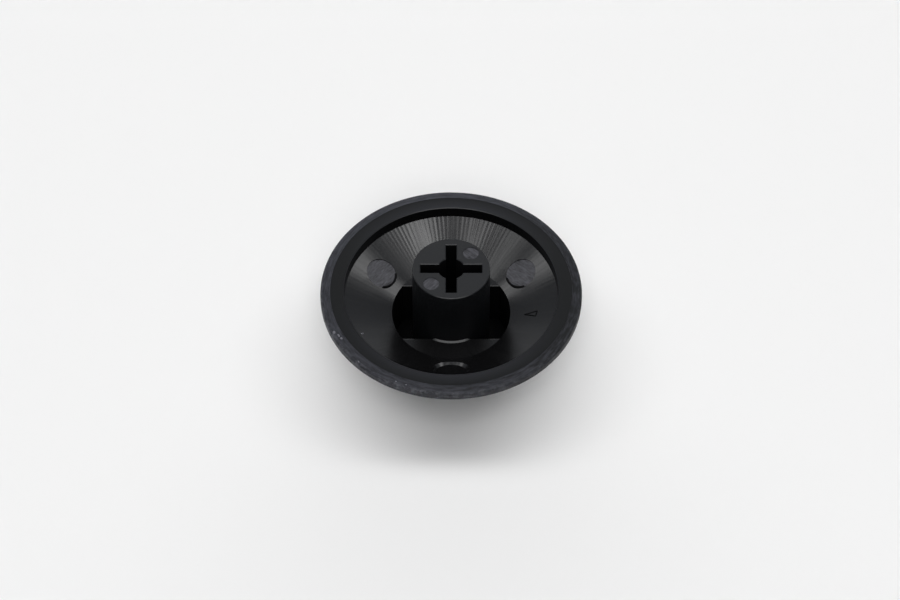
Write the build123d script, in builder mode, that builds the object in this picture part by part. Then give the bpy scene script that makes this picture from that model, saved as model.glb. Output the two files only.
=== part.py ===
from build123d import *
from math import atan2, cos, degrees, radians, sin, tan
import os

# Control knob for a kitchen appliance, one injection-moulded piece of black plastic.
# A conical skirt with a flat rim carries a bar grip on its front and a stem with a cross socket on its
# back. It lies on the flat front of the grip, back upwards. The origin is the centre of that front face,
# and +Z is the axis on which the knob turns, pointing out of the socket. Sizes are in millimetres,
# angles in degrees.

# Skirt and rim
knob_diameter = 42.0
rim_height = 16.0  # back of the rim above the front of the grip
skirt_wall = 1.4
rim_width = 3.8  # from the outside to the upright wall of the recess
recess_depth = 2.1
rim_band_width = 1.6  # the outer band, from the parting line to the outside
rim_fall = 0.2  # the outer band falls this much towards its edge
rim_edge_round = 0.45
rim_front_break = 0.3  # bevel where the outside meets the front of the skirt
land_edge_break = 0.12  # bevel on the inner edge of the rim

# Hub plate, the flat floor of the dish
dish_depth = 5.9  # below the back of the rim
hub_diameter = 19.2
hub_plate_thickness = 1.4

# Bar grip on the front and the two pockets inside it
pocket_width = 10.8
pocket_lip_round = 0.3
pocket_draft = 1.0
grip_wall = 1.4
grip_front_wall = 1.5
grip_draft = 1.0
grip_corner_round = 2.0
grip_front_round = 1.2
grip_root_round = 0.5

# Stem and its cross socket
stem_diameter = 12.4
stem_rise = 5.1  # above the back of the rim
stem_draft = 0.25
stem_edge_break = 0.12  # bevel round the end
stem_root_break = 0.25  # bevel where the stem stands on the hub plate
socket_depth = 11.2
socket_core_diameter = 4.2
socket_arm_span = 9.8
socket_arm_width = 1.7
socket_mouth_break = 0.12  # lead-in bevel round the mouth

# Round marks left by the ejector pins of the mould
stem_pin_diameter = 2.5
stem_pin_circle_diameter = 8.9
stem_pin_angle = 45.0
stem_pin_depth = 0.08
skirt_pin_diameter = 5.0
skirt_pin_circle_diameter = 26.4
proud_pin_angles = (30.0, 150.0)
proud_pin_tilt = 5.0  # the faces of these two lie this much flatter than the skirt
sunk_pin_angle = 270.0
sunk_pin_depth = 0.35
sunk_pin_flare = 45.0

# Radii and heights that follow from the sizes above
rim_radius = knob_diameter / 2
recess_radius = rim_radius - rim_width
parting_radius = rim_radius - rim_band_width
hub_radius = hub_diameter / 2
stem_radius = stem_diameter / 2
stem_top_z = rim_height + stem_rise
dish_top_z = rim_height - recess_depth
hub_back_z = rim_height - dish_depth
hub_front_z = hub_back_z - hub_plate_thickness
stem_taper = tan(radians(stem_draft))
stem_root_radius = stem_radius + (stem_top_z - hub_back_z) * stem_taper
stem_foot_radius = stem_radius + (stem_top_z - grip_front_wall) * stem_taper  # on the pocket floor

# The front of the skirt runs parallel to its back
skirt_slope = degrees(atan2(dish_top_z - hub_back_z, recess_radius - hub_radius))
skirt_rise = tan(radians(skirt_slope))  # for each millimetre outwards
skirt_wall_z = skirt_wall / cos(radians(skirt_slope))  # the same wall, measured along Z
hub_front_radius = hub_radius + (skirt_wall_z - hub_plate_thickness) / skirt_rise
rim_front_z = hub_back_z + (rim_radius - hub_radius) * skirt_rise - skirt_wall_z

# The grip is the pocket's outline with a wall around it
grip_radius = hub_radius + grip_wall
grip_width = pocket_width + 2 * grip_wall
pocket_narrowing = (hub_back_z - grip_front_wall) * tan(radians(pocket_draft))
pocket_floor_radius = hub_radius - pocket_narrowing
pocket_floor_half = pocket_width / 2 - pocket_narrowing

ABOVE = (Align.CENTER, Align.CENTER, Align.MIN)
BELOW = (Align.CENTER, Align.CENTER, Align.MAX)


def skirt_pin_plane(angle, slope):
    """Plane through the back of the skirt at a pin's centre, leaning towards the axis by the slope."""
    pin_radius = skirt_pin_circle_diameter / 2
    pin_z = hub_back_z + (pin_radius - hub_radius) * skirt_rise
    turn = radians(angle)
    lean = radians(slope)
    return Plane(
        origin=(pin_radius * cos(turn), pin_radius * sin(turn), pin_z),
        x_dir=(-sin(turn), cos(turn), 0),
        z_dir=(-sin(lean) * cos(turn), -sin(lean) * sin(turn), cos(lean)),
    )


# The mould's cores for the two pockets, one on each side of the stem, with a round along each straight lip
with BuildPart() as pocket_cores:
    with BuildSketch(Plane.YZ):
        with BuildLine():
            lip_start = (pocket_width / 2, hub_back_z - pocket_lip_round)
            lip_end = (pocket_width / 2 + pocket_lip_round, hub_back_z)
            Polyline((0, grip_front_wall), (pocket_floor_half, grip_front_wall), lip_start)
            TangentArc(lip_start, lip_end, tangent=(0, 1))
            Polyline(lip_end, (lip_end[0], rim_height), (0, rim_height))
            mirror(about=Plane.YZ)
        make_face()
    extrude(amount=hub_radius, both=True)
    with BuildSketch(Plane.XZ):
        with BuildLine():
            Polyline(
                (stem_foot_radius, grip_front_wall),
                (pocket_floor_radius, grip_front_wall),
                (hub_radius, hub_back_z),
                (hub_radius, hub_back_z + stem_root_break),
                (stem_root_radius - stem_root_break * stem_taper, hub_back_z + stem_root_break),
                close=True,
            )
        make_face()
    revolve(axis=Axis.Z, mode=Mode.INTERSECT)

with BuildPart() as knob:
    # Bar grip, a round boss with two flats
    with BuildSketch() as grip_outline:
        Circle(grip_radius)
        Rectangle(2 * grip_radius, grip_width, mode=Mode.INTERSECT)
        fillet(grip_outline.vertices(), grip_corner_round)
    extrude(amount=hub_back_z)
    draft(faces().filter_by(Axis.Z, reverse=True), Plane.XY.offset(hub_back_z), -grip_draft)
    fillet(faces().sort_by(Axis.Z)[0].edges(), grip_front_round)

    # Skirt, rim, hub plate and stem turned from one section
    corners = (
        ((0, hub_front_z), 0),
        ((hub_front_radius, hub_front_z), 0),
        ((rim_radius - rim_front_break, rim_front_z - rim_front_break * skirt_rise), 0),
        ((rim_radius, rim_front_z + rim_front_break), 0),
        ((rim_radius, rim_height - rim_fall), rim_edge_round),
        ((parting_radius, rim_height), 0),
        ((recess_radius + land_edge_break, rim_height), 0),
        ((recess_radius, rim_height - land_edge_break), 0),
        ((recess_radius, dish_top_z), 0),
        ((hub_radius, hub_back_z), 0),
        ((stem_root_radius + stem_root_break, hub_back_z), 0),
        ((stem_root_radius - stem_root_break * stem_taper, hub_back_z + stem_root_break), 0),
        ((stem_radius + stem_edge_break * stem_taper, stem_top_z - stem_edge_break), 0),
        ((stem_radius - stem_edge_break, stem_top_z), 0),
        ((0, stem_top_z), 0),
    )
    with BuildSketch(Plane.XZ):
        with BuildLine():
            FilletPolyline(
                [point for point, _ in corners],
                radius=[corner_round for _, corner_round in corners],
                close=True,
            )
        make_face()
    revolve(axis=Axis.Z)
    grip_root = edges(Select.NEW)
    fillet(grip_root, grip_root_round)

    # Pockets beside the stem
    add(pocket_cores.part, mode=Mode.SUBTRACT)

    # Cross socket with a round core
    with BuildSketch(Plane.XY.offset(stem_top_z)):
        Circle(socket_core_diameter / 2)
        Rectangle(socket_arm_span, socket_arm_width)
        Rectangle(socket_arm_width, socket_arm_span)
    extrude(amount=-socket_depth, mode=Mode.SUBTRACT)
    socket_mouth = edges(Select.LAST).group_by(Axis.Z)[-1]
    chamfer(socket_mouth, length=socket_mouth_break)

    # Ejector pin marks on the end of the stem
    with BuildSketch(Plane.XY.offset(stem_top_z)):
        with PolarLocations(stem_pin_circle_diameter / 2, 2, start_angle=stem_pin_angle):
            Circle(stem_pin_diameter / 2)
    extrude(amount=-stem_pin_depth, mode=Mode.SUBTRACT)

    # Ejector pin marks on the skirt: two flat faces a little proud towards the axis, and one sunk
    for angle in proud_pin_angles:
        with Locations(skirt_pin_plane(angle, skirt_slope - proud_pin_tilt)):
            Cylinder(skirt_pin_diameter / 2, skirt_wall, align=ABOVE, mode=Mode.SUBTRACT)
            Cylinder(skirt_pin_diameter / 2, skirt_wall / 2, align=BELOW)
    with Locations(skirt_pin_plane(sunk_pin_angle, skirt_slope).offset(-sunk_pin_depth)):
        Cone(
            skirt_pin_diameter / 2,
            skirt_pin_diameter / 2 + skirt_wall * tan(radians(sunk_pin_flare)),
            skirt_wall,
            align=ABOVE,
            mode=Mode.SUBTRACT,
        )

knob.part.label = "control_knob"
os.makedirs("parts", exist_ok=True)
export_step(knob.part, "parts/control_knob.step")
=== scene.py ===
# %% [markdown]
# # A black moulded control knob, back upwards
# The knob lies face down, so the picture shows the side that nobody is meant to see: a polished dish, a
# stem with a cross socket, two pockets that hollow the grip, and the round marks of the mould's pins.
# The exact solid comes from the CAD frame. This lesson dresses it: shading, finishes, the fine lines that
# moulding leaves, the wear on the rim, then the floor, the light and the camera.

# %% Load the frame
import bpy
import bmesh
from math import cos, pi, radians, sin, tan
from mathutils import Matrix, Vector


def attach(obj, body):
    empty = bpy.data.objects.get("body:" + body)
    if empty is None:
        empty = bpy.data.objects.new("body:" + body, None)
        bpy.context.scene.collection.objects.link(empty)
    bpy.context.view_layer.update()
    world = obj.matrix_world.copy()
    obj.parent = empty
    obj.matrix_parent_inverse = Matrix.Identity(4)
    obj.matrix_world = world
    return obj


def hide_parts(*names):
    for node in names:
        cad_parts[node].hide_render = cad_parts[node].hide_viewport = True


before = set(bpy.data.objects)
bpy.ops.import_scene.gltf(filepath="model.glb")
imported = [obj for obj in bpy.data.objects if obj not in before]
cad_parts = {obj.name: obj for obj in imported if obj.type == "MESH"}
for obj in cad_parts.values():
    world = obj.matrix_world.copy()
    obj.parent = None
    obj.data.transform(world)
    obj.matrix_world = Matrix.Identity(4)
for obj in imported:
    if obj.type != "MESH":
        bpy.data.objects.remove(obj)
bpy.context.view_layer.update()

# %% [markdown]
# ## The knob's own sizes
# Finishes change at edges of the moulding, so the script needs a few of the knob's radii and heights. They
# are written once, in millimetres, measured from the centre of the front face that it lies on.

# %% Sizes of the moulding
MM = 0.001
RIM_RADIUS = 21.0
PARTING_RADIUS = 19.4
RECESS_RADIUS = 17.2
HUB_RADIUS = 9.6
RIM_Z = 16.0
HUB_Z = 10.1
STEM_TOP_Z = 21.1
SKIRT_RISE = 0.5  # for each millimetre outwards, on the dish
BAND_RISE = -0.125  # the same on the outer band, which falls away
PIN_CIRCLE_RADIUS = 13.2
PIN_RADIUS = 2.5
PIN_Z = HUB_Z + (PIN_CIRCLE_RADIUS - HUB_RADIUS) * SKIRT_RISE  # the skirt at the middle of a pin mark
LEFT_PIN_DEG = 150.0  # where the two ground pin marks of the skirt lie, round the axis
RIGHT_PIN_DEG = 30.0
print("skirt climbs %.1f mm between hub and rim" % ((RECESS_RADIUS - HUB_RADIUS) * SKIRT_RISE))

# %% [markdown]
# ## A smooth copy of the solid
# The CAD node arrives as loose flat triangles, which would show as facets in a satin finish. A copy can be
# welded and shaded smooth, and each edge is judged by its angle. Up to 24 degrees it lies within one curved
# face. Beyond that it is a real edge, such as the crease between hub and skirt, or the side of a tiny bevel,
# which stays crisp so that the bevel catches the light as a fine line. Two places have a rule of their own.
# The round along the rim is smooth all over, because its facets are so short that their angles say little,
# and the shallow crease at the parting line stays crisp.

# %% Weld the copy and mark its real edges
WELD_MM = 0.002  # corners nearer than this become one
SLIVER_MM = 0.001  # triangles thinner than this are taken out
CURVE_LIMIT = radians(24)
RIM_ROUND = 0.4
ON_PARTING_MM = 0.02  # an edge this near to the parting line lies on it
AREA_WEIGHT = 60  # how far the large faces lead the normals at their corners


def smooth_copy(node, name):
    """A welded copy of a CAD node, smooth over curves and crisp at real edges."""
    mesh = node.data.copy()
    mesh.transform(node.matrix_world)
    bm = bmesh.new()
    bm.from_mesh(mesh)
    bmesh.ops.remove_doubles(bm, verts=bm.verts, dist=WELD_MM * MM)
    bmesh.ops.dissolve_degenerate(bm, edges=bm.edges, dist=SLIVER_MM * MM)
    for face in bm.faces:
        face.smooth = True
    crisp = 0
    for edge in bm.edges:
        bend = abs(edge.calc_face_angle(0.0))
        middle = (edge.verts[0].co + edge.verts[1].co) / (2 * MM)
        on_parting = all(abs(v.co.xy.length - PARTING_RADIUS * MM) < ON_PARTING_MM * MM for v in edge.verts)
        on_round = middle.xy.length > RIM_RADIUS - RIM_ROUND and middle.z > RIM_Z - 2 * RIM_ROUND
        edge.smooth = not on_parting and (bend < CURVE_LIMIT or on_round)
        crisp += not edge.smooth
    bm.to_mesh(mesh)
    bm.free()
    mesh.materials.clear()
    piece = bpy.data.objects.new(name, mesh)
    bpy.context.scene.collection.objects.link(piece)
    weighted = piece.modifiers.new("area weighted normals", "WEIGHTED_NORMAL")
    weighted.keep_sharp = True
    weighted.weight = AREA_WEIGHT
    ready = piece.evaluated_get(bpy.context.evaluated_depsgraph_get())
    piece.data = bpy.data.meshes.new_from_object(ready)
    piece.modifiers.remove(weighted)
    print(name, "has", len(piece.data.polygons), "faces and", crisp, "crisp edges")
    return piece


knob = smooth_copy(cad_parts["control_knob"], "knob")

# %% [markdown]
# ## True normals on the stem
# The stem's side is made of long thin triangles, and normals that are averaged from those lean a little,
# which would show as slanted streaks. The side is round about the axis, so its true normals are known: they
# point straight out. They are written over the averaged ones, corner by corner, and all others are kept.

# %% Straighten the stem's normals
STEM_ROOT_RADIUS = 6.35  # just outside the stem's side
FACING_OUT = 0.9  # share of a normal that points away from the axis


def on_stem_side(middle, normal):
    """Whether a face, given by its middle in millimetres and its normal, lies on the stem's side."""
    radius = middle.xy.length
    return radius < STEM_ROOT_RADIUS and middle.xy.dot(normal.xy) > FACING_OUT * radius


normals = [corner.vector.copy() for corner in knob.data.corner_normals]
straightened = 0
for face in knob.data.polygons:
    if on_stem_side(face.center / MM, face.normal):
        for corner in face.loop_indices:
            out = knob.data.vertices[knob.data.loops[corner].vertex_index].co.xy.normalized()
            normals[corner] = Vector((out.x, out.y, 0.0))
            straightened += 1
knob.data.normals_split_custom_set(normals)
print(straightened, "corners of the stem's side straightened")

# %% [markdown]
# ## Colours and nodes
# The colours below are written as a picture editor shows them, in sRGB hex. Blender's sockets hold linear
# light, so one function converts them. A second function adds any node with its settings, its constant
# inputs and its links, which keeps each material readable from top to bottom.

# %% Helpers for colours and nodes
def linear(hex_code):
    """The linear RGBA of an sRGB hex colour."""
    channels = [int(hex_code[i:i + 2], 16) / 255 for i in (1, 3, 5)]
    return tuple(c / 12.92 if c <= 0.04045 else ((c + 0.055) / 1.055) ** 2.4 for c in channels) + (1.0,)


def add(tree, kind, values=None, links=None, **settings):
    """Adds one node: settings are its properties, values its constant inputs, links its linked inputs."""
    made = tree.nodes.new(kind)
    for key, value in settings.items():
        setattr(made, key, value)
    for socket, value in (values or {}).items():
        made.inputs[socket].default_value = value
    for socket, source in (links or {}).items():
        tree.links.new(source, made.inputs[socket])
    return made


def new_material(name):
    """An empty node material, with its tree."""
    material = bpy.data.materials.new(name)
    material.use_nodes = True
    material.node_tree.nodes.clear()
    return material, material.node_tree


print("the middle grey #808080 is %.3f in linear light" % linear("#808080")[0])

# %% [markdown]
# ## Satin ABS
# The stem and the bevels of the rim were moulded against plain machined steel. ABS copies the steel, so they
# are a smooth satin with a very fine grain. Black ABS has an IOR of about 1.53 and almost no colour of its
# own, so what the eye sees is mainly a soft reflection of the room. A film from use dulls it, so the specular
# level is set below that of clean plastic. The same recipe makes a second, darker copy with a lower specular
# level for the stem's side: painted shade.

# %% Make the satin ABS
ABS_IOR = 1.53
ABS_SPECULAR = 0.33
SHADED_SPECULAR = 0.18
GRAIN_MM = 0.3  # the real grain is finer, drawn this coarse so that it still shows
GRAIN_DEPTH_MM = 0.004
GRAIN_RELIEF = 0.25  # share of that depth which the film leaves open
SATIN_ROUGHNESS = (0.34, 0.46)  # of the smoothest and the roughest spots
NOISE_SPAN = {"From Min": 0.3, "From Max": 0.7}  # where nearly all values of a noise lie


def satin_abs(name, colour, specular):
    """Black ABS moulded against machined steel."""
    material, tree = new_material(name)
    place = add(tree, "ShaderNodeTexCoord")
    grain = add(tree, "ShaderNodeTexNoise", {"Scale": 1 / (GRAIN_MM * MM), "Detail": 3.0},
                {"Vector": place.outputs["Object"]})
    rough = add(tree, "ShaderNodeMapRange",
                {**NOISE_SPAN, "To Min": SATIN_ROUGHNESS[0], "To Max": SATIN_ROUGHNESS[1]},
                {"Value": grain.outputs["Fac"]})
    relief = add(tree, "ShaderNodeBump", {"Strength": GRAIN_RELIEF, "Distance": GRAIN_DEPTH_MM * MM},
                 {"Height": grain.outputs["Fac"]})
    surface = add(tree, "ShaderNodeBsdfPrincipled",
                  {"Base Color": linear(colour), "IOR": ABS_IOR, "Specular IOR Level": specular},
                  {"Roughness": rough.outputs["Result"], "Normal": relief.outputs["Normal"]})
    add(tree, "ShaderNodeOutputMaterial", links={"Surface": surface.outputs["BSDF"]})
    return material


satin = satin_abs("satin moulded ABS", "#0f1012", ABS_SPECULAR)
# a darker copy of the satin for the stem's side: painted shade
shaded = satin_abs("greasy satin ABS", "#0b0c0e", SHADED_SPECULAR)
print(satin.name, "and", shaded.name, "have", len(satin.node_tree.nodes), "nodes each")

# %% [markdown]
# ## Handled land
# The flat land of the rim came from the same steel, but it is where fingers pull the knob off. Their grease
# fills its grain, so it gives back less light than the stem's end. Along the inner edge, at the far and near
# sides, its colour is painted a little paler: painted light. Two slow blends, one across the land and one
# round it, say that without a texture.

# %% Make the handled finish
LAND_SPECULAR = 0.17
LAND_ROUGHNESS = (0.36, 0.46)


def handled_abs():
    """Satin black ABS under a film of grease, painted paler near its inner edge as painted light."""
    material, tree = new_material("handled satin ABS")
    place = add(tree, "ShaderNodeTexCoord")
    grain = add(tree, "ShaderNodeTexNoise", {"Scale": 1 / (GRAIN_MM * MM), "Detail": 3.0},
                {"Vector": place.outputs["Object"]})
    rough = add(tree, "ShaderNodeMapRange",
                {**NOISE_SPAN, "To Min": LAND_ROUGHNESS[0], "To Max": LAND_ROUGHNESS[1]},
                {"Value": grain.outputs["Fac"]})
    flat = add(tree, "ShaderNodeVectorMath", {1: (1.0, 1.0, 0.0)}, {0: place.outputs["Object"]},
               operation="MULTIPLY")
    reach = add(tree, "ShaderNodeVectorMath", links={0: flat.outputs["Vector"]}, operation="LENGTH")
    inner = add(tree, "ShaderNodeMapRange",
                {"From Min": PARTING_RADIUS * MM, "From Max": RECESS_RADIUS * MM},
                {"Value": reach.outputs["Value"]})
    aim = add(tree, "ShaderNodeVectorMath", links={0: flat.outputs["Vector"]}, operation="NORMALIZE")
    parts = add(tree, "ShaderNodeSeparateXYZ", links={"Vector": aim.outputs["Vector"]})
    # painted light: the colour is made paler towards the inner edge at the far and near sides
    ends = add(tree, "ShaderNodeMath", links={0: parts.outputs["Y"], 1: parts.outputs["Y"]},
               operation="MULTIPLY")
    painted_light_mask = add(tree, "ShaderNodeMath", links={0: inner.outputs["Result"], 1: ends.outputs["Value"]},
               operation="MULTIPLY")
    colour = add(tree, "ShaderNodeMix", {6: linear("#0a0b0c"), 7: linear("#212226")},
                 {0: painted_light_mask.outputs["Value"]}, data_type="RGBA")
    relief = add(tree, "ShaderNodeBump", {"Strength": GRAIN_RELIEF, "Distance": GRAIN_DEPTH_MM * MM},
                 {"Height": grain.outputs["Fac"]})
    surface = add(tree, "ShaderNodeBsdfPrincipled", {"IOR": ABS_IOR, "Specular IOR Level": LAND_SPECULAR},
                  {"Base Color": colour.outputs[2], "Roughness": rough.outputs["Result"],
                   "Normal": relief.outputs["Normal"]})
    add(tree, "ShaderNodeOutputMaterial", links={"Surface": surface.outputs["BSDF"]})
    return material


handled = handled_abs()
print(handled.name, "has a specular level of", LAND_SPECULAR)

# %% [markdown]
# ## Polished core side
# The dish and the hub were moulded against a steel core that was polished by strokes that run outwards from
# the stem. The strokes left shallow flutes, which break the reflected cards into bright spokes. The flutes
# are a wave round the axis: a whole number of them has no seam, and noise makes them stray as hand work does.
# Finer streaks lie between them. All get deeper outwards and on the far side, where the polishing stone did
# more work.

# %% Make the polished core side
FLUTES = 148  # round the whole dish
FLUTE_WANDER = 2.5  # how far the flutes stray from even spacing, in radians of their wave
STRAY_DEG = 7.0  # over how wide a sector they stray
STREAK_DEG = 1.6  # width of the finer streaks between them, seen from the axis
STREAK_DRIFT = 0.004  # how fast a streak changes along its length, for each millimetre
FLUTE_DEPTH_MM = 0.0125  # at the edge of the dish
FLUTED_HALF_SECTOR = radians(48)  # the strokes go deep on one side of the core only
DEEP_SHARE = 0.6  # share of that sector over which they are at their deepest
SHALLOW_SHARE = 0.12  # depth on the other side, as a share of the deepest
DEPTH_POWER = 3.0  # how steeply they deepen outwards
WAVE_SHARE = 0.5  # height of the flutes next to that of the streaks
POLISHED_ROUGHNESS = (0.17, 0.25)


def polished_abs():
    """Black ABS moulded against a core that was polished with strokes away from the axis."""
    material, tree = new_material("stroke polished ABS")
    place = add(tree, "ShaderNodeTexCoord")
    flat = add(tree, "ShaderNodeVectorMath", {1: (1.0, 1.0, 0.0)}, {0: place.outputs["Object"]},
               operation="MULTIPLY")
    aim = add(tree, "ShaderNodeVectorMath", links={0: flat.outputs["Vector"]}, operation="NORMALIZE")
    drift = add(tree, "ShaderNodeVectorMath", {"Scale": STREAK_DRIFT / MM}, {0: place.outputs["Object"]},
                operation="SCALE")
    spoke = add(tree, "ShaderNodeVectorMath", links={0: aim.outputs["Vector"], 1: drift.outputs["Vector"]},
                operation="ADD")
    streaks = add(tree, "ShaderNodeTexNoise", {"Scale": 1 / radians(STREAK_DEG), "Detail": 1.0},
                  {"Vector": spoke.outputs["Vector"]})
    stray = add(tree, "ShaderNodeTexNoise", {"Scale": 1 / radians(STRAY_DEG), "Detail": 1.0},
                {"Vector": spoke.outputs["Vector"]})
    parts = add(tree, "ShaderNodeSeparateXYZ", links={"Vector": place.outputs["Object"]})
    bearing = add(tree, "ShaderNodeMath", links={0: parts.outputs["Y"], 1: parts.outputs["X"]},
                  operation="ARCTAN2")
    wander = add(tree, "ShaderNodeMath", {1: FLUTE_WANDER}, {0: stray.outputs["Fac"]}, operation="MULTIPLY")
    phase = add(tree, "ShaderNodeMath", {1: FLUTES},
                {0: bearing.outputs["Value"], 2: wander.outputs["Value"]}, operation="MULTIPLY_ADD")
    wave = add(tree, "ShaderNodeMath", links={0: phase.outputs["Value"]}, operation="SINE")
    strokes = add(tree, "ShaderNodeMath", {1: WAVE_SHARE},
                  {0: wave.outputs["Value"], 2: streaks.outputs["Fac"]}, operation="MULTIPLY_ADD")
    rough = add(tree, "ShaderNodeMapRange",
                {**NOISE_SPAN, "To Min": POLISHED_ROUGHNESS[0], "To Max": POLISHED_ROUGHNESS[1]},
                {"Value": streaks.outputs["Fac"]})
    reach = add(tree, "ShaderNodeVectorMath", links={0: flat.outputs["Vector"]}, operation="LENGTH")
    work = add(tree, "ShaderNodeMath", {1: RECESS_RADIUS * MM}, {0: reach.outputs["Value"]},
               operation="DIVIDE")
    outer = add(tree, "ShaderNodeMath", {1: DEPTH_POWER}, {0: work.outputs["Value"]}, operation="POWER")
    toward = add(tree, "ShaderNodeVectorMath", {1: (0.0, 1.0, 0.0)}, {0: aim.outputs["Vector"]},
                 operation="DOT_PRODUCT")
    sector = add(tree, "ShaderNodeMapRange",
                 {"From Min": cos(FLUTED_HALF_SECTOR), "From Max": cos(DEEP_SHARE * FLUTED_HALF_SECTOR),
                  "To Min": SHALLOW_SHARE},
                 {"Value": toward.outputs["Value"]}, interpolation_type="SMOOTHSTEP")
    depth = add(tree, "ShaderNodeMath", links={0: outer.outputs["Value"], 1: sector.outputs["Result"]},
                operation="MULTIPLY")
    flutes = add(tree, "ShaderNodeMath", links={0: strokes.outputs["Value"], 1: depth.outputs["Value"]},
                 operation="MULTIPLY")
    relief = add(tree, "ShaderNodeBump", {"Strength": 1.0, "Distance": FLUTE_DEPTH_MM * MM},
                 {"Height": flutes.outputs["Value"]})
    surface = add(tree, "ShaderNodeBsdfPrincipled",
                  {"Base Color": linear("#0e0e0f"), "IOR": ABS_IOR, "Specular IOR Level": ABS_SPECULAR},
                  {"Roughness": rough.outputs["Result"], "Normal": relief.outputs["Normal"]})
    add(tree, "ShaderNodeOutputMaterial", links={"Surface": surface.outputs["BSDF"]})
    return material


polished = polished_abs()
print(polished.name, "has", FLUTES, "flutes")

# %% [markdown]
# ## Matt inside of the pockets and the socket
# Nobody polishes the deep narrow cores that form the pockets and the socket. Their steel was left as the
# milling cutter made it, so the plastic in there is matt. Its near black colour and very low specular level
# are painted shade for these deep recesses, so they give back hardly any light.

# %% Make the matt inside
CUTTER_MM = 0.4
CUTTER_DEPTH_MM = 0.01
CUTTER_RELIEF = 0.5
LEVEL_STRETCH = (0.2, 0.2, 1.0)  # the cutter worked level by level, so its marks are drawn out sideways
MATT_SHADE_SPECULAR = 0.09  # painted shade: the deep recesses give back hardly any light
MATT_ROUGHNESS = (0.5, 0.62)


def matt_shade_abs():
    """Black ABS moulded against milled steel, darkened as painted shade."""
    material, tree = new_material("matt milled ABS with painted shade")
    place = add(tree, "ShaderNodeTexCoord")
    layers = add(tree, "ShaderNodeMapping", {"Scale": LEVEL_STRETCH}, {"Vector": place.outputs["Object"]})
    cuts = add(tree, "ShaderNodeTexNoise", {"Scale": 1 / (CUTTER_MM * MM), "Detail": 3.0},
               {"Vector": layers.outputs["Vector"]})
    rough = add(tree, "ShaderNodeMapRange",
                {**NOISE_SPAN, "To Min": MATT_ROUGHNESS[0], "To Max": MATT_ROUGHNESS[1]},
                {"Value": cuts.outputs["Fac"]})
    relief = add(tree, "ShaderNodeBump", {"Strength": CUTTER_RELIEF, "Distance": CUTTER_DEPTH_MM * MM},
                 {"Height": cuts.outputs["Fac"]})
    # the near black colour is painted shade for the deep pockets and socket
    surface = add(tree, "ShaderNodeBsdfPrincipled",
                  {"Base Color": linear("#060607"), "IOR": ABS_IOR, "Specular IOR Level": MATT_SHADE_SPECULAR},
                  {"Roughness": rough.outputs["Result"], "Normal": relief.outputs["Normal"]})
    add(tree, "ShaderNodeOutputMaterial", links={"Surface": surface.outputs["BSDF"]})
    return material


matt = matt_shade_abs()
print(matt.name, "has cutter marks of", CUTTER_MM, "mm")

# %% [markdown]
# ## Textured outside
# The front, the outside and the outer band of the rim come from the other half of the mould, which was
# roughened by spark erosion so that fingers leave no marks. The pits scatter light, so this half looks
# greyer than the back. Its edge is also what gets knocked: the outermost part is worn pale in patches, more
# on the side that was dragged over a worktop, and the outer band has dark and pale rubs along the rim. For
# those, noise is read at the direction from the axis, drawn out, and at the distance across the band. On top
# of the rubs, the band is painted paler towards one side and at its far and near sides: painted light.

# %% Make the textured outside
TEXTURED_SPECULAR = 0.2  # pits hide part of their own walls
TEXTURED_ROUGHNESS = 0.55
PIT_MM = 0.28
PIT_DEPTH_MM = 0.02
PIT_RELIEF = 0.6
SCUFF_MM = 1.1
SCUFFED = {"From Min": 0.46, "From Max": 0.8}  # values of the noise between untouched and scuffed
WORN_EDGE_MM = 0.7  # how far the wear reaches in from the outside
WORN_SIDE = (-0.64, -0.77, 0.0)  # the direction of the side that was dragged
WORN_FROM = 0.3  # the wear grows from this share of the radius towards that side
LEAST_WEAR = 0.3  # share of the wear that the other side has
RUB_LENGTH_MM = 1.8  # rubs on the outer band run along the rim
RUB_WIDTH_MM = 0.32
RUBBED = {"From Min": 0.34, "From Max": 0.92}  # values of the noise between dark and pale rubs
RUB_FADE_MM = 0.3  # the rubs fade out over this width inside the parting line
PAINTED_LIGHT_SIDE = (-0.11, 0.06, 0.0)  # how much paler the band is painted towards this side: painted light
PAINTED_LIGHT_ENDS = 0.14  # and how much paler at the far and near sides: painted light as well


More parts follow.
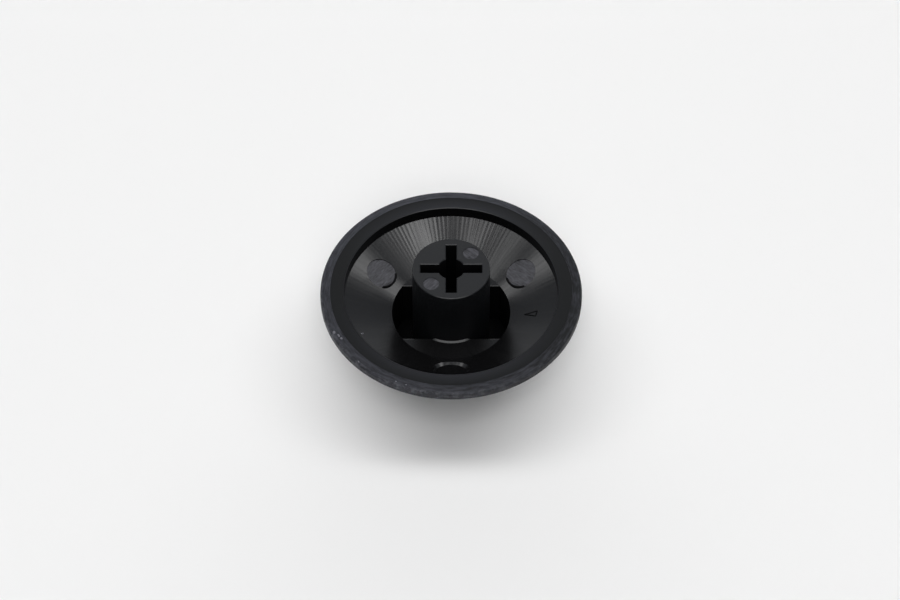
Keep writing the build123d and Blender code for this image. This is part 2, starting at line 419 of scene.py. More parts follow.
def textured_abs():
    """Black ABS moulded against spark-eroded steel, scuffed along the rim."""
    material, tree = new_material("spark textured ABS")
    place = add(tree, "ShaderNodeTexCoord")
    pits = add(tree, "ShaderNodeTexNoise", {"Scale": 1 / (PIT_MM * MM), "Detail": 4.0, "Roughness": 0.65},
               {"Vector": place.outputs["Object"]})
    scuffs = add(tree, "ShaderNodeTexNoise", {"Scale": 1 / (SCUFF_MM * MM), "Detail": 6.0, "Roughness": 0.7},
                 {"Vector": place.outputs["Object"]})
    patches = add(tree, "ShaderNodeMapRange", SCUFFED, {"Value": scuffs.outputs["Fac"]})
    flat = add(tree, "ShaderNodeVectorMath", {1: (1.0, 1.0, 0.0)}, {0: place.outputs["Object"]},
               operation="MULTIPLY")
    reach = add(tree, "ShaderNodeVectorMath", links={0: flat.outputs["Vector"]}, operation="LENGTH")
    edge = add(tree, "ShaderNodeMapRange",
               {"From Min": (RIM_RADIUS - WORN_EDGE_MM) * MM, "From Max": RIM_RADIUS * MM},
               {"Value": reach.outputs["Value"]}, interpolation_type="SMOOTHSTEP")
    aside = add(tree, "ShaderNodeVectorMath", {1: WORN_SIDE}, {0: place.outputs["Object"]},
                operation="DOT_PRODUCT")
    side = add(tree, "ShaderNodeMapRange",
               {"From Min": WORN_FROM * RIM_RADIUS * MM, "From Max": RIM_RADIUS * MM, "To Min": LEAST_WEAR},
               {"Value": aside.outputs["Value"]}, interpolation_type="SMOOTHSTEP")
    knocks = add(tree, "ShaderNodeMath", links={0: edge.outputs["Result"], 1: side.outputs["Result"]},
                 operation="MULTIPLY")
    wear = add(tree, "ShaderNodeMath", links={0: knocks.outputs["Value"], 1: patches.outputs["Result"]},
               operation="MULTIPLY")
    mottle = add(tree, "ShaderNodeMix", {6: linear("#1b1c20"), 7: linear("#32333a")},
                 {0: patches.outputs["Result"]}, data_type="RGBA")
    aim = add(tree, "ShaderNodeVectorMath", links={0: flat.outputs["Vector"]}, operation="NORMALIZE")
    round_rim = add(tree, "ShaderNodeVectorMath", {"Scale": RIM_RADIUS / RUB_LENGTH_MM},
                    {0: aim.outputs["Vector"]}, operation="SCALE")
    parts = add(tree, "ShaderNodeSeparateXYZ", links={"Vector": place.outputs["Object"]})
    down_rim = add(tree, "ShaderNodeMath", links={0: reach.outputs["Value"], 1: parts.outputs["Z"]},
                   operation="SUBTRACT")
    across_rim = add(tree, "ShaderNodeMath", {1: RUB_WIDTH_MM * MM}, {0: down_rim.outputs["Value"]},
                     operation="DIVIDE")
    over = add(tree, "ShaderNodeCombineXYZ", links={"Z": across_rim.outputs["Value"]})
    rub_place = add(tree, "ShaderNodeVectorMath",
                    links={0: round_rim.outputs["Vector"], 1: over.outputs["Vector"]}, operation="ADD")
    rubs = add(tree, "ShaderNodeTexNoise", {"Scale": 1.0, "Detail": 4.0, "Roughness": 0.6},
               {"Vector": rub_place.outputs["Vector"]})
    # painted light: the rubs are shifted paler towards one side and towards the far and near sides
    side_light = add(tree, "ShaderNodeVectorMath", {1: PAINTED_LIGHT_SIDE}, {0: aim.outputs["Vector"]},
                    operation="DOT_PRODUCT")
    one_side = add(tree, "ShaderNodeMath", links={0: side_light.outputs["Value"], 1: rubs.outputs["Fac"]},
                   operation="ADD")
    aim_parts = add(tree, "ShaderNodeSeparateXYZ", links={"Vector": aim.outputs["Vector"]})
    ends = add(tree, "ShaderNodeMath", links={0: aim_parts.outputs["Y"], 1: aim_parts.outputs["Y"]},
               operation="MULTIPLY")
    paler = add(tree, "ShaderNodeMath", {1: PAINTED_LIGHT_ENDS},
                {0: ends.outputs["Value"], 2: one_side.outputs["Value"]}, operation="MULTIPLY_ADD")
    rubbed = add(tree, "ShaderNodeMapRange", RUBBED, {"Value": paler.outputs["Value"]})
    streaky = add(tree, "ShaderNodeMix", {6: linear("#090a0c"), 7: linear("#3c3d44")},
                  {0: rubbed.outputs["Result"]}, data_type="RGBA")
    on_rim = add(tree, "ShaderNodeMapRange",
                 {"From Min": (PARTING_RADIUS - RUB_FADE_MM) * MM, "From Max": PARTING_RADIUS * MM},
                 {"Value": reach.outputs["Value"]})
    plain = add(tree, "ShaderNodeMix",
                links={0: on_rim.outputs["Result"], 6: mottle.outputs[2], 7: streaky.outputs[2]},
                data_type="RGBA")
    tint = add(tree, "ShaderNodeMix", {7: linear("#66666c")},
               {0: wear.outputs["Value"], 6: plain.outputs[2]}, data_type="RGBA")
    relief = add(tree, "ShaderNodeBump", {"Strength": PIT_RELIEF, "Distance": PIT_DEPTH_MM * MM},
                 {"Height": pits.outputs["Fac"]})
    surface = add(tree, "ShaderNodeBsdfPrincipled",
                  {"IOR": ABS_IOR, "Specular IOR Level": TEXTURED_SPECULAR, "Roughness": TEXTURED_ROUGHNESS},
                  {"Base Color": tint.outputs[2], "Normal": relief.outputs["Normal"]})
    add(tree, "ShaderNodeOutputMaterial", links={"Surface": surface.outputs["BSDF"]})
    return material


textured = textured_abs()
print(textured.name, "has pits of", PIT_MM, "mm")

# %% [markdown]
# ## Pin marks
# Round steel pins push the cooling part off its core. Their ends are ground, not polished, so each leaves a
# round mark with fine straight scratches. The hot skin also tears a little as the pin leaves it, which makes
# pale, uneven streaks along the scratches. The pins were ground one by one and put in as they came, so the
# scratches run one way on the left and another way on the right. A Mapping node of the texture kind turns the
# noise before it draws it out, so one recipe serves both.

# %% Make the pin marks
LEFT_SCRATCH_DEG = 52.0
RIGHT_SCRATCH_DEG = 140.0
SCRATCH_MM = 0.22  # real ones are finer, drawn this coarse so that they still show
TEAR_MM = 0.6
SCRATCH_STRETCH = 4.0  # length of a scratch for its width
SCRATCH_DEPTH_MM = 0.04
SCRATCH_RELIEF = 0.8
TORN = {"From Min": 0.68, "From Max": 1.4}  # sum of both noises between smooth and torn
PIN_ROUGHNESS = 0.4


def pin_mark_abs(name, scratch_deg):
    """Black ABS moulded against the ground end of an ejector pin, with its scratches at this angle."""
    material, tree = new_material(name)
    place = add(tree, "ShaderNodeTexCoord")
    turned = add(tree, "ShaderNodeMapping",
                 {"Rotation": (0.0, 0.0, radians(scratch_deg)), "Scale": (SCRATCH_STRETCH, 1.0, 1.0)},
                 {"Vector": place.outputs["Object"]}, vector_type="TEXTURE")
    scratches = add(tree, "ShaderNodeTexNoise", {"Scale": 1 / (SCRATCH_MM * MM), "Detail": 4.0},
                    {"Vector": turned.outputs["Vector"]})
    tears = add(tree, "ShaderNodeTexNoise", {"Scale": 1 / (TEAR_MM * MM), "Detail": 3.0, "Distortion": 0.6},
                {"Vector": turned.outputs["Vector"]})
    both = add(tree, "ShaderNodeMath", links={0: scratches.outputs["Fac"], 1: tears.outputs["Fac"]},
               operation="ADD")
    tint = add(tree, "ShaderNodeMapRange", TORN, {"Value": both.outputs["Value"]})
    colour = add(tree, "ShaderNodeMix", {6: linear("#131316"), 7: linear("#4c4c52")},
                 {0: tint.outputs["Result"]}, data_type="RGBA")
    relief = add(tree, "ShaderNodeBump", {"Strength": SCRATCH_RELIEF, "Distance": SCRATCH_DEPTH_MM * MM},
                 {"Height": both.outputs["Value"]})
    surface = add(tree, "ShaderNodeBsdfPrincipled",
                  {"IOR": ABS_IOR, "Specular IOR Level": ABS_SPECULAR, "Roughness": PIN_ROUGHNESS},
                  {"Base Color": colour.outputs[2], "Normal": relief.outputs["Normal"]})
    add(tree, "ShaderNodeOutputMaterial", links={"Surface": surface.outputs["BSDF"]})
    return material


left_pin = pin_mark_abs("left ground pin ABS", LEFT_SCRATCH_DEG)
right_pin = pin_mark_abs("right ground pin ABS", RIGHT_SCRATCH_DEG)
print(left_pin.name, "and", right_pin.name, "have scratches of", SCRATCH_MM, "mm")

# %% [markdown]
# ## Give each face its finish
# A mould part's finish ends where that steel part ended, so the finish of a face follows from where the face
# is. Each polygon is asked for its middle and its normal, and the first rule that fits names its material.

# %% Sort the faces
FINISHES = [satin, shaded, handled, polished, matt, textured, left_pin, right_pin]
LEVEL = 0.9  # a level face has a normal that points up at least this much
PIN_LEVEL = 0.8  # the same for a pin mark, which lies on the slope
BEVEL_LEVEL = 0.5  # and for a bevel
UNDERSIDE = -0.5  # a face that points further down than this belongs to the front
PIN_MARGIN = 0.03  # a pin mark's faces reach a little past its radius
PARTING_MARGIN = 0.01
GRIP_FRONT_Z = 1.4  # between the grip's front and the floor of the pockets
GRIP_TOP_Z = 9.3  # above it, the grip's outside runs into the skirt
GRIP_HALF_WIDTH = 6.0  # between the pockets' sides and the grip's outside
GRIP_REACH = 10.2  # the same at the grip's round ends
POCKET_LIP_Z = HUB_Z - 0.32  # below the rounded lips of the pockets
SOCKET_REACH = 5.0  # just outside the arms of the socket
STEM_END_DEPTH = 0.2  # the stem's end with its bevels
STEM_PIN_DEPTHS = (0.05, 0.09)  # the sunk faces of the pin marks in the stem's end lie between these


def on_skirt_pin(middle):
    """Whether a point, in millimetres, lies on one of the two ground pin marks of the skirt."""
    for angle_deg in (RIGHT_PIN_DEG, LEFT_PIN_DEG):
        across = PIN_CIRCLE_RADIUS * cos(radians(angle_deg))
        along = PIN_CIRCLE_RADIUS * sin(radians(angle_deg))
        if (middle - Vector((across, along, PIN_Z))).length < PIN_RADIUS + PIN_MARGIN:
            return True
    return False


def finish_of(middle, normal):
    """The material of a face, from its middle in millimetres and its normal."""
    radius = middle.xy.length
    below_end = STEM_TOP_Z - middle.z
    sunk_in_end = STEM_PIN_DEPTHS[0] < below_end < STEM_PIN_DEPTHS[1]
    # the stem's side takes the darker copy of the satin, painted shade
    if on_stem_side(middle, normal):
        return shaded
    if radius > PARTING_RADIUS - PARTING_MARGIN or middle.z < GRIP_FRONT_Z:
        return textured
    if radius > HUB_RADIUS and normal.z < UNDERSIDE:
        return textured
    if middle.z < GRIP_TOP_Z and (abs(middle.y) > GRIP_HALF_WIDTH or radius > GRIP_REACH):
        return textured
    # pockets and socket take the dark matt finish, whose darkness is painted shade
    if middle.z < POCKET_LIP_Z or (radius < SOCKET_REACH and below_end > STEM_END_DEPTH):
        return matt
    if normal.z > PIN_LEVEL and (sunk_in_end or on_skirt_pin(middle)):
        return left_pin if middle.x < 0 else right_pin
    if below_end < STEM_END_DEPTH:
        return satin
    if radius > RECESS_RADIUS and normal.z > LEVEL:
        return handled
    if radius > RECESS_RADIUS and normal.z > BEVEL_LEVEL:
        return satin
    return polished


for material in FINISHES:
    knob.data.materials.append(material)
for face in knob.data.polygons:
    face.material_index = FINISHES.index(finish_of(face.center / MM, face.normal))
for place_in_list, material in enumerate(FINISHES):
    print(material.name, sum(face.material_index == place_in_list for face in knob.data.polygons), "faces")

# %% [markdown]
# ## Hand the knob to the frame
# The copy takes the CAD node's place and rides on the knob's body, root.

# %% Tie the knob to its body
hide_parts("control_knob")
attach(knob, "root")

# %% [markdown]
# ## Small forms made by Geometry Nodes
# Four kinds of small form lie on the knob and follow its surfaces: the flash that seeps out at the parting
# line, a mould maker's sign, dark lines of painted shadow at the pin marks, and flecks of worn plastic. Each
# follows a rule, so a node tree says it better than a list of points. One helper starts a tree with named
# inputs and another ends it. A third runs it on an empty object with its sizes filled in, keeps the result
# as a plain mesh and ties that to the knob's body.

# %% Helpers for node trees
def new_recipe(name, numbers, counts=()):
    """A geometry node tree with named inputs, and the node that gives them."""
    tree = bpy.data.node_groups.new(name, "GeometryNodeTree")
    for label in numbers:
        tree.interface.new_socket(label, in_out="INPUT", socket_type="NodeSocketFloat")
    for label in counts:
        tree.interface.new_socket(label, in_out="INPUT", socket_type="NodeSocketInt")
    tree.interface.new_socket("Mesh", in_out="OUTPUT", socket_type="NodeSocketGeometry")
    return tree, add(tree, "NodeGroupInput").outputs


def end_recipe(tree, shape, material):
    """Ends a tree: real faces, smooth, in their material."""
    real = add(tree, "GeometryNodeRealizeInstances", links={"Geometry": shape})
    soft = add(tree, "GeometryNodeSetShadeSmooth", links={"Geometry": real.outputs["Geometry"]})
    dressed = add(tree, "GeometryNodeSetMaterial", {"Material": material},
                  {"Geometry": soft.outputs["Geometry"]})
    add(tree, "NodeGroupOutput", links={"Mesh": dressed.outputs["Geometry"]})


def make_piece(name, tree, sizes):
    """Runs a tree with these sizes and ties the plain mesh that it gives to the knob's body."""
    piece = bpy.data.objects.new(name, bpy.data.meshes.new(name))
    bpy.context.scene.collection.objects.link(piece)
    recipe = piece.modifiers.new("recipe", "NODES")
    recipe.node_group = tree
    for item in tree.interface.items_tree:
        if item.in_out == "INPUT":
            recipe[item.identifier] = sizes[item.name]
    ready = piece.evaluated_get(bpy.context.evaluated_depsgraph_get())
    mesh = bpy.data.meshes.new_from_object(ready)
    piece.modifiers.remove(recipe)
    piece.data = mesh
    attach(piece, "root")
    print(name, "has", len(mesh.polygons), "faces")


# %% [markdown]
# ## Parting flash
# Where the two halves of the mould meet, a hair of plastic seeps between them and stands up as a fine ridge
# round the rim. It is a circle given a thin round section, and noise makes it thick and thin, as real flash
# is.

# %% Make the parting flash
FLASH_MM = 0.035  # half the thickness of the ridge
FLASH_OUT_MM = 0.02  # the ridge stands this far outside the parting line
FLASH_PATCH_MM = 2.5
FLASH_STEPS = 360
FLASH_GIRTH = (0.3, 1.3)  # thinnest and thickest, as a share of that thickness
flash_tree, given = new_recipe("parting flash", ("Radius", "Height", "Thickness"))
circle = add(flash_tree, "GeometryNodeCurvePrimitiveCircle", {"Resolution": FLASH_STEPS},
             {"Radius": given["Radius"]})
lift = add(flash_tree, "ShaderNodeCombineXYZ", links={"Z": given["Height"]})
raised = add(flash_tree, "GeometryNodeTransform",
             links={"Geometry": circle.outputs["Curve"], "Translation": lift.outputs["Vector"]})
seep = add(flash_tree, "ShaderNodeTexNoise", {"Scale": 1 / (FLASH_PATCH_MM * MM), "Detail": 4.0})
girth = add(flash_tree, "ShaderNodeMapRange",
            {**NOISE_SPAN, "To Min": FLASH_GIRTH[0], "To Max": FLASH_GIRTH[1]},
            {"Value": seep.outputs["Fac"]})
uneven = add(flash_tree, "GeometryNodeSetCurveRadius",
             links={"Curve": raised.outputs["Geometry"], "Radius": girth.outputs["Result"]})
section = add(flash_tree, "GeometryNodeCurvePrimitiveCircle", {"Resolution": 6},
              {"Radius": given["Thickness"]})
ridge = add(flash_tree, "GeometryNodeCurveToMesh",
            links={"Curve": uneven.outputs["Curve"], "Profile Curve": section.outputs["Curve"]})
end_recipe(flash_tree, ridge.outputs["Mesh"], textured)
make_piece("parting_flash", flash_tree,
           {"Radius": (PARTING_RADIUS + FLASH_OUT_MM) * MM, "Height": RIM_Z * MM, "Thickness": FLASH_MM * MM})

# %% [markdown]
# ## Mould sign
# A small triangle stands on the dish to the right of the stem, a fine raised outline that was cut into the
# core. It is drawn in the same dark matt material as the pockets, so it shows as a dark line. A circle of
# three points is a triangle. It is squeezed, turned and moved to its place seen from above, then each of its
# points is set to the height of the dish, so that the line lies on the slope.

# %% Make the mould sign
SIGN_MIDDLE = (13.1, -1.9)
SIGN_REACH_MM = 1.3
SIGN_SQUEEZE = 0.45
SIGN_TURN_DEG = 164.0
SIGN_LINE_MM = 0.1
SIGN_POINTS = 48
sign_tree, given = new_recipe("mould sign", ("Reach", "Squeeze", "Turn", "Across", "Along", "Thickness"))
corners = add(sign_tree, "GeometryNodeCurvePrimitiveCircle", {"Resolution": 3}, {"Radius": given["Reach"]})
shape = add(sign_tree, "ShaderNodeCombineXYZ", {"X": 1.0, "Z": 1.0}, {"Y": given["Squeeze"]})
turn = add(sign_tree, "ShaderNodeCombineXYZ", links={"Z": given["Turn"]})
spot = add(sign_tree, "ShaderNodeCombineXYZ", links={"X": given["Across"], "Y": given["Along"]})
placed = add(sign_tree, "GeometryNodeTransform",
             links={"Geometry": corners.outputs["Curve"], "Translation": spot.outputs["Vector"],
                    "Rotation": turn.outputs["Vector"], "Scale": shape.outputs["Vector"]})
fine = add(sign_tree, "GeometryNodeResampleCurve", {"Count": SIGN_POINTS},
           {"Curve": placed.outputs["Geometry"]})
where = add(sign_tree, "GeometryNodeInputPosition")
reach = add(sign_tree, "ShaderNodeVectorMath", links={0: where.outputs["Position"]}, operation="LENGTH")
climb = add(sign_tree, "ShaderNodeMath", {1: SKIRT_RISE, 2: (HUB_Z - HUB_RADIUS * SKIRT_RISE) * MM},
            {0: reach.outputs["Value"]}, operation="MULTIPLY_ADD")
height = add(sign_tree, "ShaderNodeCombineXYZ", links={"Z": climb.outputs["Value"]})
laid = add(sign_tree, "GeometryNodeSetPosition",
           links={"Geometry": fine.outputs["Curve"], "Offset": height.outputs["Vector"]})
section = add(sign_tree, "GeometryNodeCurvePrimitiveCircle", {"Resolution": 6},
              {"Radius": given["Thickness"]})
line = add(sign_tree, "GeometryNodeCurveToMesh",
           links={"Curve": laid.outputs["Geometry"], "Profile Curve": section.outputs["Curve"]})
end_recipe(sign_tree, line.outputs["Mesh"], matt)
make_piece("mould_sign", sign_tree,
           {"Reach": SIGN_REACH_MM * MM, "Squeeze": SIGN_SQUEEZE, "Turn": radians(SIGN_TURN_DEG),
            "Across": SIGN_MIDDLE[0] * MM, "Along": SIGN_MIDDLE[1] * MM, "Thickness": SIGN_LINE_MM * MM})

# %% [markdown]
# ## Dark lines at the pin marks
# A dark line lies along the side of each pin mark that faces the stem: painted shadow at the edge of the
# mark. A line is part of a circle with a round section that thins out towards both ends. The tree lays the
# arc in the plane of its mark: it leans the arc towards the axis, turns it to the mark's bearing and moves
# it out to the mark's middle.

# %% Make the lines of painted shadow
PIN_LEAN = radians(21.57)  # the mark's face lies this steep, towards the axis
SHADOW_LINE_MM = 0.19
SHADOW_LINE_POINTS = 40
shadow_line_tree, given = new_recipe("pin shadow line", ("Bearing", "Lean", "Start", "Sweep", "Radius", "Thickness"))
arc = add(shadow_line_tree, "GeometryNodeCurveArc", {"Resolution": SHADOW_LINE_POINTS},
          {"Radius": given["Radius"], "Start Angle": given["Start"], "Sweep Angle": given["Sweep"]})
along = add(shadow_line_tree, "GeometryNodeSplineParameter")
half_turn = add(shadow_line_tree, "ShaderNodeMath", {1: pi}, {0: along.outputs["Factor"]}, operation="MULTIPLY")
swell = add(shadow_line_tree, "ShaderNodeMath", links={0: half_turn.outputs["Value"]}, operation="SINE")
tapered = add(shadow_line_tree, "GeometryNodeSetCurveRadius",
              links={"Curve": arc.outputs["Curve"], "Radius": swell.outputs["Value"]})
lie = add(shadow_line_tree, "ShaderNodeCombineXYZ", links={"Y": given["Lean"], "Z": given["Bearing"]})
east = add(shadow_line_tree, "ShaderNodeMath", links={0: given["Bearing"]}, operation="COSINE")
north = add(shadow_line_tree, "ShaderNodeMath", links={0: given["Bearing"]}, operation="SINE")
outward = add(shadow_line_tree, "ShaderNodeCombineXYZ",
              links={"X": east.outputs["Value"], "Y": north.outputs["Value"]})
out = add(shadow_line_tree, "ShaderNodeVectorMath", {"Scale": PIN_CIRCLE_RADIUS * MM},
          {0: outward.outputs["Vector"]}, operation="SCALE")
spot = add(shadow_line_tree, "ShaderNodeVectorMath", {1: (0.0, 0.0, PIN_Z * MM)}, {0: out.outputs["Vector"]},
           operation="ADD")
leaned = add(shadow_line_tree, "GeometryNodeTransform",
             links={"Geometry": tapered.outputs["Curve"], "Translation": spot.outputs["Vector"],
                    "Rotation": lie.outputs["Vector"]})
section = add(shadow_line_tree, "GeometryNodeCurvePrimitiveCircle", {"Resolution": 8},
              {"Radius": given["Thickness"]})
shadow_line = add(shadow_line_tree, "GeometryNodeCurveToMesh", {"Fill Caps": True},
          {"Curve": leaned.outputs["Geometry"], "Profile Curve": section.outputs["Curve"]})
# the dark matt line is painted shadow along the edge of the mark
end_recipe(shadow_line_tree, shadow_line.outputs["Mesh"], matt)
SHADOW_LINE_SWEEP_DEG = 90
for name, bearing_deg, start_deg in (
        ("left_pin_shadow_line", LEFT_PIN_DEG, 130), ("right_pin_shadow_line", RIGHT_PIN_DEG, 160)):
    make_piece(name, shadow_line_tree,
               {"Bearing": radians(bearing_deg), "Lean": -PIN_LEAN, "Start": radians(start_deg),
                "Sweep": radians(SHADOW_LINE_SWEEP_DEG), "Radius": PIN_RADIUS * MM, "Thickness": SHADOW_LINE_MM * MM})

# %% [markdown]
# ## Worn flecks
# On the dragged side the edge has shed small pale flecks, and some cling to the rim and the dish. Whitened
# ABS is full of fine cracks, so it scatters light and looks grey instead of black. The tree scatters points
# over a sector of a cone and puts a flat crumb on each, drawn out along the rim. The same tree serves the
# outer band and the dish, because both are cones with a different rise. The seeds are fixed, so the flecks
# stay where they are.

# %% Make the whitened ABS
WHITENED_ROUGHNESS = 0.7


def whitened_abs():
    """Black ABS turned pale by knocks."""
    material, tree = new_material("knocked whitened ABS")
    place = add(tree, "ShaderNodeTexCoord")
    cracks = add(tree, "ShaderNodeTexNoise", {"Scale": 1 / (PIT_MM * MM), "Detail": 3.0},
                 {"Vector": place.outputs["Object"]})
    tint = add(tree, "ShaderNodeMix", {6: linear("#3a3a40"), 7: linear("#7e7e86")},
               {0: cracks.outputs["Fac"]}, data_type="RGBA")
    surface = add(tree, "ShaderNodeBsdfPrincipled",
                  {"IOR": ABS_IOR, "Specular IOR Level": ABS_SPECULAR, "Roughness": WHITENED_ROUGHNESS},
                  {"Base Color": tint.outputs[2]})
    add(tree, "ShaderNodeOutputMaterial", links={"Surface": surface.outputs["BSDF"]})
    return material


whitened = whitened_abs()
print(whitened.name, "has", len(whitened.node_tree.nodes), "nodes")

# %% Write the recipe of the flecks
FLECK_STRAY = 0.5  # how far a fleck turns away from the line of the rim, in radians
SMALL_FLECK = (1.2, 0.8, 0.3)  # length, width and height of the smallest, for its size
LARGE_FLECK = (2.2, 1.2, 0.4)
fleck_tree, given = new_recipe(
    "worn flecks", ("From Angle", "To Angle", "From Radius", "To Radius", "Height", "Rise", "Size"),
    ("Count", "Seed"))
points = add(fleck_tree, "GeometryNodePoints", links={"Count": given["Count"]})
angle = add(fleck_tree, "FunctionNodeRandomValue",
            links={2: given["From Angle"], 3: given["To Angle"], "Seed": given["Seed"]})
later_seed = add(fleck_tree, "ShaderNodeMath", {1: 1.0}, {0: given["Seed"]}, operation="ADD")
radius = add(fleck_tree, "FunctionNodeRandomValue",
             links={2: given["From Radius"], 3: given["To Radius"], "Seed": later_seed.outputs["Value"]})
east = add(fleck_tree, "ShaderNodeMath", links={0: angle.outputs[1]}, operation="COSINE")
north = add(fleck_tree, "ShaderNodeMath", links={0: angle.outputs[1]}, operation="SINE")
outward = add(fleck_tree, "ShaderNodeCombineXYZ",
              links={"X": east.outputs["Value"], "Y": north.outputs["Value"]})
spread = add(fleck_tree, "ShaderNodeVectorMath",
             links={0: outward.outputs["Vector"], "Scale": radius.outputs[1]}, operation="SCALE")
slope = add(fleck_tree, "ShaderNodeMath",
            links={0: radius.outputs[1], 1: given["Rise"], 2: given["Height"]}, operation="MULTIPLY_ADD")
lift = add(fleck_tree, "ShaderNodeCombineXYZ", links={"Z": slope.outputs["Value"]})
spot = add(fleck_tree, "ShaderNodeVectorMath", links={0: spread.outputs["Vector"], 1: lift.outputs["Vector"]},
           operation="ADD")
strewn = add(fleck_tree, "GeometryNodeSetPosition",
             links={"Geometry": points.outputs["Points"], "Position": spot.outputs["Vector"]})
crumb = add(fleck_tree, "GeometryNodeMeshIcoSphere", {"Subdivisions": 2}, {"Radius": given["Size"]})
stray = add(fleck_tree, "FunctionNodeRandomValue", {2: pi / 2 - FLECK_STRAY, 3: pi / 2 + FLECK_STRAY},
            {"Seed": given["Seed"]})
heading = add(fleck_tree, "ShaderNodeMath", links={0: angle.outputs[1], 1: stray.outputs[1]}, operation="ADD")
turned = add(fleck_tree, "ShaderNodeCombineXYZ", links={"Z": heading.outputs["Value"]})
girth = add(fleck_tree, "FunctionNodeRandomValue", {0: SMALL_FLECK, 1: LARGE_FLECK},
            {"Seed": later_seed.outputs["Value"]}, data_type="FLOAT_VECTOR")
crumbs = add(fleck_tree, "GeometryNodeInstanceOnPoints",
             links={"Points": strewn.outputs["Geometry"], "Instance": crumb.outputs["Mesh"],
                    "Rotation": turned.outputs["Vector"], "Scale": girth.outputs[0]})
end_recipe(fleck_tree, crumbs.outputs["Instances"], whitened)
print(fleck_tree.name, "has", len(fleck_tree.nodes), "nodes")

# %% Scatter the flecks
BAND_CONE = {"Rise": BAND_RISE, "Height": (RIM_Z - PARTING_RADIUS * BAND_RISE) * MM}
DISH_CONE = {"Rise": SKIRT_RISE, "Height": (HUB_Z - HUB_RADIUS * SKIRT_RISE) * MM}
for name, cone, sector_deg, ring_mm, count, seed, size_mm in (
        ("rim_flecks", BAND_CONE, (205, 212), (19.9, 20.5), 3, 7, 0.2),
        ("edge_flecks", BAND_CONE, (221, 255), (20.2, 20.6), 3, 4, 0.1),
        ("dish_flecks", DISH_CONE, (204.5, 206.5), (15.6, 16.1), 2, 3, 0.12)):
    make_piece(name, fleck_tree,
               {"From Angle": radians(sector_deg[0]), "To Angle": radians(sector_deg[1]),
                "From Radius": ring_mm[0] * MM, "To Radius": ring_mm[1] * MM,
                "Count": count, "Seed": seed, "Size": size_mm * MM, **cone})

# %% [markdown]
# ## Floor
# The knob lies on a plain sheet of white paper. It could be bent up behind the knob, as photographers do, but
# the camera looks down steeply, so a flat sheet fills the picture. It is a little under full white, so that
# the lamps don't wash it out.

# %% Lay the floor
FLOOR_SIZE = 3.0  # metres
PAPER_ROUGHNESS = 0.9


def white_sheet():
    """Plain white paper."""
    material, tree = new_material("white paper")
    surface = add(tree, "ShaderNodeBsdfPrincipled",
                  {"Base Color": linear("#f7f7f7"), "Roughness": PAPER_ROUGHNESS})
    add(tree, "ShaderNodeOutputMaterial", links={"Surface": surface.outputs["BSDF"]})
    return material


bpy.ops.mesh.primitive_plane_add(size=FLOOR_SIZE, location=(0, 0, 0))
floor = bpy.context.object
floor.name = "floor"
floor.data.materials.append(white_sheet())
print("floor:", floor.dimensions[:2])

# %% [markdown]
# ## Lamps
# Paper shows how much light falls on it, and black plastic shows what it mirrors, so the light is made in two
# parts. The lamps light the paper and give the knob its soft shadow, and mirrors don't see them. Each is a
# soft box written as it looks from the knob: how many degrees to the side and to the back it stands, how many
# degrees it fills, and how bright it is next to a white sheet in full light.

# %% Hang the lamps
LAMP_DISTANCE = 1.0  # metres
LAMP_AIM = Vector((0, 0, 12 * MM))  # inside the knob


def soft_box(name, side_deg, back_deg, wide_deg, deep_deg, brightness):
    """A soft box aimed at the knob, given by the angles at which the knob sees it."""
    side, back = radians(side_deg), radians(back_deg)
    toward = Vector((sin(side), cos(side) * sin(back), cos(side) * cos(back)))
    across = (Vector((1, 0, 0)) - toward * toward.x).normalized()
    lamp = bpy.data.lights.new(name, "AREA")
    lamp.shape = "RECTANGLE"
    lamp.size = 2 * LAMP_DISTANCE * tan(radians(wide_deg) / 2)
    lamp.size_y = 2 * LAMP_DISTANCE * tan(radians(deep_deg) / 2)
    lamp.energy = brightness * pi * lamp.size * lamp.size_y
    holder = bpy.data.objects.new(name, lamp)
    bpy.context.scene.collection.objects.link(holder)
    holder.location = toward * LAMP_DISTANCE + LAMP_AIM
    holder.rotation_euler = Matrix((across, toward.cross(across), toward)).transposed().to_euler()
    return holder


lamps = [
    soft_box("overhead strip", 0, 10, 90, 16, 4.5),
    soft_box("front lamp", 0, -38, 24, 36, 5.1),
    soft_box("low back lamp", 0, 74, 100, 24, 2.9),
]
for lamp in lamps:
    lamp.visible_glossy = False
print("lamps:", [lamp.name for lamp in lamps])

# %% [markdown]
# ## Cards
# The cards are the other part: pale sheets round the knob that it mirrors, and that add nothing to the light
# on the paper. The dish is a cone, so each part of it mirrors another card. The flute cards, with a dim one
# between them, give the bright fan at the back, the pin cards the wedges beside the pin marks, and the front
# card the fine lines on the bevels that lean towards the camera.

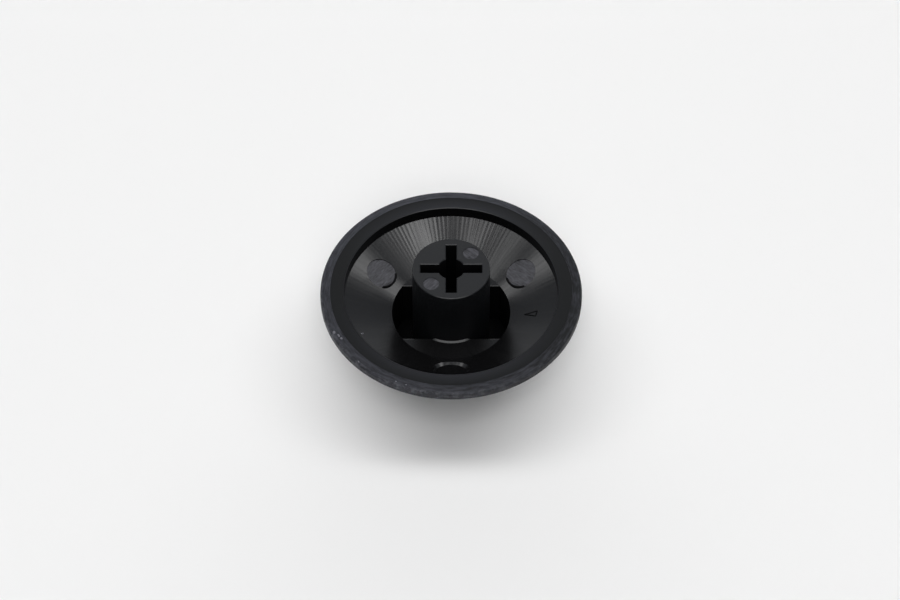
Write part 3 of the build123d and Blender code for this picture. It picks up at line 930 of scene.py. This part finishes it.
# %% Hang the cards
cards = [
    soft_box("middle card", 0, -12, 10, 18, 0.7),
    soft_box("left flute card", -12, -12, 11, 18, 4.2),
    soft_box("right flute card", 15, -12, 15, 18, 6.2),
    soft_box("left gap card", -29, -3, 10, 18, 3.0),
    soft_box("right gap card", 27, -4, 12, 18, 1.5),
    soft_box("left pin card", -41, 24, 18, 14, 3.3),
    soft_box("right pin card", 41, 24, 18, 14, 4.1),
    soft_box("back card", 0, 56, 30, 20, 1.4),
    soft_box("low back card", 0, 77, 80, 18, 0.25),
    soft_box("front card", 0, -54, 64, 30, 2.8),
]
for card in cards:
    card.visible_diffuse = False
print("cards:", [card.name for card in cards])

# %% [markdown]
# ## Room
# Between the cards the plastic mirrors a pale room. It is one even glow, a little blue as daylight in a room
# is, and like the cards it only shows in mirrors.

# %% Fill the room
ROOM_GLOW = 0.48
room = bpy.data.worlds.new("pale room")
bpy.context.scene.world = room
room.use_nodes = True
room.node_tree.nodes.clear()
glow = add(room.node_tree, "ShaderNodeBackground", {"Color": linear("#f0f5fd"), "Strength": ROOM_GLOW})
add(room.node_tree, "ShaderNodeOutputWorld", links={"Surface": glow.outputs["Background"]})
room.cycles_visibility.diffuse = False
print("the room glows at", ROOM_GLOW)

# %% [markdown]
# ## Camera
# The rim's circles look like ellipses in the picture, and how flat they are tells how steeply the camera
# looks down. How much smaller the far parts are than the near ones tells its distance. The camera is moved a
# little off the line to the knob, which puts the knob where it lies in the frame, and the lens isn't shifted.

# %% Place the camera
CAMERA_ELEVATION = radians(51.0)
CAMERA_DISTANCE_MM = 384.9
CAMERA_LEFT_MM = 0.186
CAMERA_DOWN_MM = 1.69
AIM_Z = 15.8  # just under the back of the rim
lens = bpy.data.cameras.new("camera")
lens.lens = 96.0
lens.sensor_width = 36.0
lens.clip_start = 0.01
camera = bpy.data.objects.new("camera", lens)
bpy.context.scene.collection.objects.link(camera)
forward = Vector((0, cos(CAMERA_ELEVATION), -sin(CAMERA_ELEVATION)))
upward = Vector((0, sin(CAMERA_ELEVATION), cos(CAMERA_ELEVATION)))
sideways = Vector((1, 0, 0))
aim_point = Vector((0, 0, AIM_Z * MM))
back_off = CAMERA_DISTANCE_MM * MM * forward
camera.location = aim_point - back_off - CAMERA_LEFT_MM * MM * sideways - CAMERA_DOWN_MM * MM * upward
camera.rotation_euler = (radians(90) - CAMERA_ELEVATION, 0, 0)
bpy.context.scene.camera = camera
bpy.context.scene.view_settings.view_transform = "Standard"
print("camera at", [round(v, 4) for v in camera.location])
